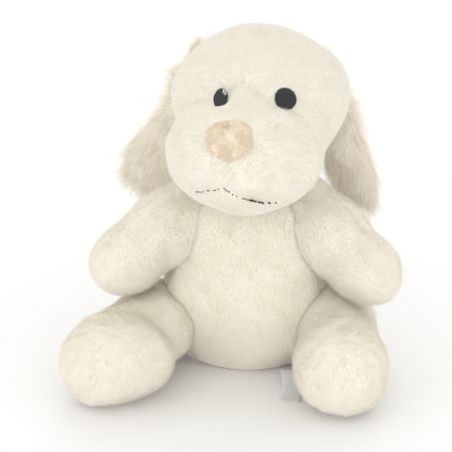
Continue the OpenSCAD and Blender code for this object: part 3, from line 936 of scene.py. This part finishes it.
def build_torso():
    """The body's skin and pile, thinned and shortened where the dog sits."""
    grid = torso_grid()
    skin = closed_form("torso_cloth", grid, torso_and_ear_cloth_painted_light)
    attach(skin, "torso")
    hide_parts("belly_panel", "back_panel_left", "back_panel_right", "seat_panel",
                "torso_stuffing", "bean_bag")
    rng = np.random.default_rng(SEED + 7)
    points, normals, _, _ = scatter(grid, PILE_DENSITY, rng)
    keep = (points[:, 2] > 2.5) | (rng.random(len(points)) < 0.25)
    points, normals = points[keep], normals[keep]
    length = np.where(points[:, 2] > 4, 3.1, 1.2)
    short_pile(dresser("torso", "cream_plush"), "torso_pile", points, normals,
               torso_flow(points), length, torso_pile_painted_light, rng)


def limb_grid(radius, start, end, cols, rows):
    """Rings round the limb's own line, which hangs along -Z from the pivot."""
    turn = np.radians(np.arange(cols) * 360.0 / cols)
    at = (start + end) / 2 - (end - start) / 2 * np.cos(np.linspace(0, math.pi, rows))
    t, s = np.meshgrid(turn, at, indexing="ij")
    r = radius(s)
    grid = np.stack([r * np.cos(t), r * np.sin(t), -s], axis=-1)
    return grid, t, s


def seamed(grid, turn, seams, depth, width, seed, lumps=0.9):
    """Presses seams into a limb and gives it slow lumps."""
    line = grid.mean(axis=0, keepdims=True)
    out = unit(grid - line + 1e-6)
    radius = np.linalg.norm(grid - line, axis=-1)
    gaps = [np.angle(np.exp(1j * (turn - math.radians(a)))) for a in seams]
    press = sum(bump(gap * radius, 0, width) for gap in gaps)
    swell = lumps * ripple(grid, 40, seed) + 0.35 * ripple(grid, 15, seed + 1) - depth * press
    fade = smoothstep(radius, 2, 10)
    return grid + out * (swell * fade)[..., None]


# How near a limb and the torso have to be for their skins to swell together
ARM_FILLET = {1: 45.0, -1: 43.0}
LEG_FILLET = 40.0
# Turns at which a limb's two seams run along it
LIMB_SEAMS = (0, 180)


def limb_gap(points, side, unplace, radius, length):
    local = unplace(points, side)
    along = -local[..., 2]
    across = np.hypot(local[..., 0], local[..., 1])
    gap = across - radius(np.clip(along, 0, length * 0.8))
    beyond = np.maximum(along - length, 0) + np.maximum(-along - 6, 0)
    return np.hypot(np.maximum(gap, 0), beyond) + np.minimum(gap, 0)


# Radii and length of an arm, how far it turns forward, and how far it drops from level
PAW_R = 21.0
ARM_LEN = 71.5
SHOULDER_R = 15.5
ARM_FORWARD = 40.0
ARM_DROP = {1: 33.5, -1: 32.4}


def arm_radius(s):
    """Radius of an arm at a distance from its shoulder; it starts from nothing inside the torso."""
    root = SHOULDER_R * np.sqrt(np.maximum(0, 1 - (np.minimum(s + 6, 0) / 20) ** 2))
    root = np.where(s < 10, root, section(s, 10, 22, SHOULDER_R))
    return merged(root, section(s, 0.28 * ARM_LEN, 0.5 * ARM_LEN, PAW_R),
                  section(s, 0.66 * ARM_LEN, 0.34 * ARM_LEN, PAW_R))


def arm_place(points, side):
    points = turned(points, (0, 1, 0), ARM_DROP[side] - 90)
    points = turned(points, UP, -ARM_FORWARD if side > 0 else 180 + ARM_FORWARD)
    return points + pivot("arm_%s_raise" % SIDES[side])


def arm_unplace(points, side):
    points = points - pivot("arm_%s_raise" % SIDES[side])
    points = turned(points, UP, ARM_FORWARD if side > 0 else 180 - ARM_FORWARD)
    return turned(points, (0, 1, 0), 90 - ARM_DROP[side])


# Length of the pile on limbs, how much of it swirls, and the height under which it is crushed
LIMB_PILE = 3.3
LIMB_SWIRL = 0.22
CRUSH_HEIGHT = 6


def build_limb(name, grid, body, start, end, seed, node_names, flow_dir):
    skin = closed_form(name + "_cloth", grid, limb_cloth_painted_light)
    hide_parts(*node_names)
    dresser(body, "cream_plush", "torso", start, end)(skin)
    rng = np.random.default_rng(seed)
    points, normals, _, _ = scatter(grid, PILE_DENSITY, rng)
    keep = points[:, 2] > 1.2
    points, normals = points[keep], normals[keep]
    flow = unit(flow_dir + LIMB_SWIRL * ripple_vector(points, 26, seed))
    length = LIMB_PILE * np.clip(points[:, 2] / CRUSH_HEIGHT, 0.25, 1)
    short_pile(dresser(body, "cream_plush", "torso", start, end), name + "_pile", points,
               normals, flow, length, limb_pile_painted_light, rng)


def build_arm(side):
    name = "arm_" + SIDES[side]
    grid, turn, _ = limb_grid(arm_radius, -26, ARM_LEN, 80, 60)
    grid = seamed(grid, turn, LIMB_SEAMS, 0.6, SEAM_WIDTH, 61 + side)
    grid = arm_place(grid, side)
    grid = fillet(grid, torso_gap(grid), ARM_FILLET[side])
    root = arm_place(np.zeros(3), side)
    tip = arm_place(np.array([0, 0, -ARM_LEN]), side)
    along = unit(tip - root)
    nodes = [name + part for part in ("_front", "_back", "_stuffing")]
    build_limb(name, grid, name, root - along * 16, root + along * 14, SEED + 10 + side,
               nodes, along + np.array([0, 0.3, -0.5]))


# Length of a leg, radius and half length of its foot, the power that squares the foot off, and
# the radius at the hip
LEG_LEN = 88.0
FOOT_R = 28.5
FOOT_LEN = 27.0
FOOT_POWER = 2.6
HIP_R = 21.0
# Outward turn of each leg
LEG_SPLAY = {1: 3.0, -1: 13.8}
# How far each leg sits back, how much its foot is flattened on top, and how much the inner side
# of the thigh swells
LEG_BACK = {1: 4.0, -1: 0.0}
FOOT_FLAT = 0.12
LEG_FULLER = {1: 2.0, -1: 11.0}


def leg_radius(s):
    """Radius of a leg at a distance from its hip; it starts from nothing inside the torso."""
    q = np.abs((s - LEG_LEN + FOOT_LEN) / FOOT_LEN)
    foot = FOOT_R * np.maximum(0, 1 - np.minimum(q, 1) ** FOOT_POWER) ** (1 / FOOT_POWER)
    root = HIP_R * np.sqrt(np.maximum(0, 1 - (np.minimum(s + 4, 0) / 24) ** 2))
    root = np.where(s < 6, root, section(s, 6, 30, HIP_R))
    thigh = section(s, 0.35 * LEG_LEN, 0.6 * LEG_LEN, 0.97 * HIP_R)
    calf = section(s, 0.42 * LEG_LEN, 0.5 * LEG_LEN, 1.04 * HIP_R)
    return merged(root, thigh, calf, foot)


def leg_place(points, side):
    points = turned(points + UP * LEG_BACK[side], (1, 0, 0), -90)
    points = turned(points, UP, side * LEG_SPLAY[side])
    return points + pivot("leg_%s_swing" % SIDES[side])


def leg_unplace(points, side):
    points = points - pivot("leg_%s_swing" % SIDES[side])
    points = turned(points, UP, -side * LEG_SPLAY[side])
    return turned(points, (1, 0, 0), 90) - UP * LEG_BACK[side]


def build_leg(side):
    """A leg, from inside the torso to its broad foot, with a slight crease at the ankle."""
    name = "leg_" + SIDES[side]
    grid, turn, s = limb_grid(leg_radius, -28, LEG_LEN, 96, 72)
    ankle = 0.6 * bump(s, LEG_LEN - 14, 2.0)
    grid = seamed(grid, turn, LIMB_SEAMS, 0.7, SEAM_WIDTH, 81 + side)
    line = np.stack([0 * s, 0 * s, -s], axis=-1)
    grid = grid - unit(grid - line + 1e-6) * ankle[..., None]
    inward = np.clip(-side * np.cos(turn), 0, 1) ** 0.7
    fuller = LEG_FULLER[side] * smoothstep(s, -10, 20) * (1 - smoothstep(s, 55, 86))
    grid[..., 0] -= side * fuller * inward
    grid = leg_place(grid, side)
    root = leg_place(np.zeros(3), side)
    above = np.maximum(grid[..., 2] - root[2], 0)
    grid[..., 2] -= FOOT_FLAT * smoothstep(s, 25, 60) * above
    grid = fillet(grid, torso_gap(grid), LEG_FILLET)
    grid[..., 2] = np.maximum(grid[..., 2], FLOOR_GAP)
    along = unit(leg_place(np.array([0, 0, -LEG_LEN]), side) - root)
    nodes = [name + part for part in ("_upper", "_lower", "_sole", "_stuffing")]
    inward = np.array([-side * 14.0, 6.0, 0])
    build_limb(name, grid, name, root + inward, root + along * 16, SEED + 20 + side, nodes,
               0.35 * along + np.array([0, 0, -1.0]))


# Radius and length of the tail, its radius at the root, and its turn up from hanging
TAIL_R = 7.6
TAIL_LEN = 36.0
TAIL_ROOT_R = 7.5
TAIL_LIFT = 125


def tail_radius(s):
    half = 0.5 * TAIL_LEN
    return merged(section(s, -2, 14, TAIL_ROOT_R), section(s, half, half, TAIL_R))


def build_tail():
    grid, turn, _ = limb_grid(tail_radius, -16, TAIL_LEN, 40, 30)
    grid = seamed(grid, turn, LIMB_SEAMS, 0.6, 1.6, 91, lumps=0.4)
    root = pivot("tail_wag")
    grid = turned(grid, (1, 0, 0), TAIL_LIFT) + root
    along = turned(-UP, (1, 0, 0), TAIL_LIFT)
    nodes = ["tail_upper", "tail_lower", "tail_stuffing"]
    start, end = root - along * 10, root + along * 8
    build_limb("tail", grid, "tail", start, end, SEED + 30, nodes, along)


NECK_R = 23
NECK_CENTRE = np.array([5.0, -2.0, 114.5])


def build_neck():
    """The gathered neck seam: a short ring of plush sunk between the torso and the head."""
    turn = np.radians(np.arange(64) * 5.625)
    rise = np.linspace(0, math.pi, 16)
    t, a = np.meshgrid(turn, rise, indexing="ij")
    pucker = 0.5 * np.cos(16 * t)
    r = (NECK_R + pucker) * np.sin(a) ** 0.5
    grid = np.stack([r * np.cos(t), r * np.sin(t), 9 * np.cos(a)], axis=-1) + NECK_CENTRE
    ring = closed_form("neck_gather", grid, cream_cloth)
    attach(ring, "neck")
    rng = np.random.default_rng(SEED + 40)
    points, normals, _, _ = scatter(grid, PILE_DENSITY, rng)
    short_pile(dresser("neck", "cream_plush"), "neck_pile", points, normals,
               torso_flow(points), 2.6, cream_pile, rng)


# ---- Small pieces ----

# Width of the care label, its length as folded, the gap between its plies, and half its thickness
LABEL_W = 13.0
LABEL_LEN = 34.0
LABEL_PLY = 0.45
LABEL_HALF_T = 0.09


def build_label():
    """Folded satin ribbon: two plies that leave the seat seam, dip to the floor and fold over at the end."""
    low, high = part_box("care_label")
    x = (low[0] + high[0]) / 2 / MM
    back = high[1] / MM
    s = np.linspace(0, 1, 26)
    height = 0.5 + 5.5 * (1 - smoothstep(s, 0.0, 0.75))
    lie = np.stack([x + 3.5 - 8 * (s - 0.5) ** 2 + 2 * s, back - LABEL_LEN * s, height], axis=-1)
    ply = LABEL_PLY
    bend = np.linspace(-math.pi / 2, math.pi / 2, 7)[1:-1]
    tip = lie[-1] + np.array([0, 0, ply / 2])
    fold_y = tip[1] - ply / 2 * np.cos(bend)
    fold = np.stack([0 * bend + tip[0], fold_y, tip[2] + ply / 2 * np.sin(bend)], axis=-1)
    line = np.concatenate([lie, fold, lie[::-1] + np.array([0, 0, ply])])
    along = unit(np.gradient(line, axis=0))
    across = unit(np.cross(along, np.cross(np.array([1.0, 0.12, 0]), along)))
    across[np.sum(across * [1, 0, 0], axis=1) < 0] *= -1
    cross = np.linspace(-0.5, 0.5, 7) * LABEL_W
    sheet = line[:, None] + across[:, None] * cross[None, :, None]
    rows, cols = sheet.shape[:2]
    normal = unit(np.cross(along, across))
    off = normal[:, None] * LABEL_HALF_T
    points = np.concatenate([(sheet + off).reshape(-1, 3), (sheet - off).reshape(-1, 3)])
    i, j = np.meshgrid(np.arange(rows - 1), np.arange(cols - 1), indexing="ij")
    spot = lambda a, b: a * cols + b
    face = [spot(i, j), spot(i + 1, j), spot(i + 1, j + 1), spot(i, j + 1)]
    face = np.stack(face, axis=-1).reshape(-1, 4)
    rim = ([(i, 0) for i in range(rows)] + [(rows - 1, j) for j in range(1, cols)]
           + [(i, cols - 1) for i in range(rows - 2, -1, -1)] + [(0, j) for j in range(cols - 2, 0, -1)])
    rim = np.array([spot(a, b) for a, b in rim])
    far = rim + rows * cols
    wall = np.stack([rim, far, np.roll(far, -1), np.roll(rim, -1)], axis=-1)
    quads = np.concatenate([face[:, ::-1], face + rows * cols, wall[:, ::-1]])
    label = mesh_object("care_ribbon", points, quads, material=satin)
    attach(label, "torso")
    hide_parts("care_label")


# Count, first height, spacing, half width and thread radius of the ladder stitch
STITCHES = 11
STITCH_Z = 24
STITCH_STEP = 5.0
STITCH_HALF = 2.6
STITCH_R = 0.35


def build_closing_stitches():
    """Ladder stitch over the back seam, drawn as short arched threads."""
    paths = []
    for k in range(STITCHES):
        z = STITCH_Z + STITCH_STEP * k
        centre = torso_points(np.array(math.pi / 2), np.array(z))
        x = np.linspace(-STITCH_HALF, STITCH_HALF, 7)
        lift = 0.5 + 0.7 * np.cos(x / STITCH_HALF * math.pi / 2)
        paths.append(np.stack([centre[0] + x, centre[1] + lift, z + 0.25 * x], axis=-1))
    stitches = tubes_object("ladder_stitches", paths, [STITCH_R] * STITCHES, cream_thread)
    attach(stitches, "torso")
    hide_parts("closing_thread")


# ---- Stage ----


FLOOR_HALF = 4000
SKY = (1, 0.995, 0.985, 1)
SKY_STRENGTH = 0.9
# Each lamp's name, place and size in metres, and power in watts
LAMPS = (
    ("key", (0.15, -1.4, 0.62), 0.7, 1.1),
    ("fill", (1.0, -1.0, 0.35), 1.0, 1.7),
    ("low", (0.1, -1.4, 0.14), 0.8, 2.2),
    ("side", (-1.0, -1.0, 0.35), 1.0, 2.5),
    ("back", (0.0, 1.5, 1.6), 1.6, 8.0),
)
LAMP_TARGET = Vector((0, 0, 0.11))


def build_stage():
    corners = [(-1, -1, 0), (1, -1, 0), (1, 1, 0), (-1, 1, 0)]
    material, _ = principled("pale_floor", (0.96, 0.96, 0.96), 0.9)
    floor = mesh_object("floor", FLOOR_HALF * np.array(corners), [[0, 1, 2, 3]], material=material)
    world = bpy.data.worlds.new("studio")
    world.use_nodes = True
    background = world.node_tree.nodes["Background"]
    background.inputs["Color"].default_value = SKY
    background.inputs["Strength"].default_value = SKY_STRENGTH
    bpy.context.scene.world = world
    for name, place, size, power in LAMPS:
        light = bpy.data.lights.new(name, "AREA")
        light.size = size
        light.energy = power
        lamp = bpy.data.objects.new(name, light)
        lamp.location = place
        facing = LAMP_TARGET - Vector(place)
        lamp.rotation_euler = facing.to_track_quat("-Z", "Y").to_euler()
        bpy.context.scene.collection.objects.link(lamp)
    bpy.context.scene.view_settings.view_transform = "Standard"


# The camera stands this far in metres from its target, and its lens is in millimetres
CAMERA_DISTANCE = 1.0
CAMERA_AZIMUTH = 6.0
CAMERA_ELEVATION = 19.5
CAMERA_TARGET = Vector((0.0, -0.01, 0.115))
CAMERA_LENS = 123.4513
SHIFT_X = -0.0430
SHIFT_Y = -0.0688


def build_camera():
    a, e = math.radians(CAMERA_AZIMUTH), math.radians(CAMERA_ELEVATION)
    back = Vector((math.sin(a) * math.cos(e), -math.cos(a) * math.cos(e), math.sin(e)))
    camera = bpy.data.objects.new("camera", bpy.data.cameras.new("camera"))
    camera.location = CAMERA_TARGET + back * CAMERA_DISTANCE
    camera.rotation_euler = (-back).to_track_quat("-Z", "Y").to_euler()
    camera.data.lens = CAMERA_LENS
    camera.data.shift_x = SHIFT_X
    camera.data.shift_y = SHIFT_Y
    bpy.context.scene.collection.objects.link(camera)
    bpy.context.scene.camera = camera


build_stage()
build_camera()
build_head()
build_nose()
for eye_side in EYES:
    build_eye(eye_side)
build_mouth()
for ear_side in (1, -1):
    build_ear(ear_side)
build_torso()
for limb_side in (1, -1):
    build_arm(limb_side)
    build_leg(limb_side)
build_tail()
build_neck()
build_label()
build_closing_stitches()

thread_ring = frame["nodes"]["neck_thread"]
thread_ring.data.materials.clear()
thread_ring.data.materials.append(cream_thread)
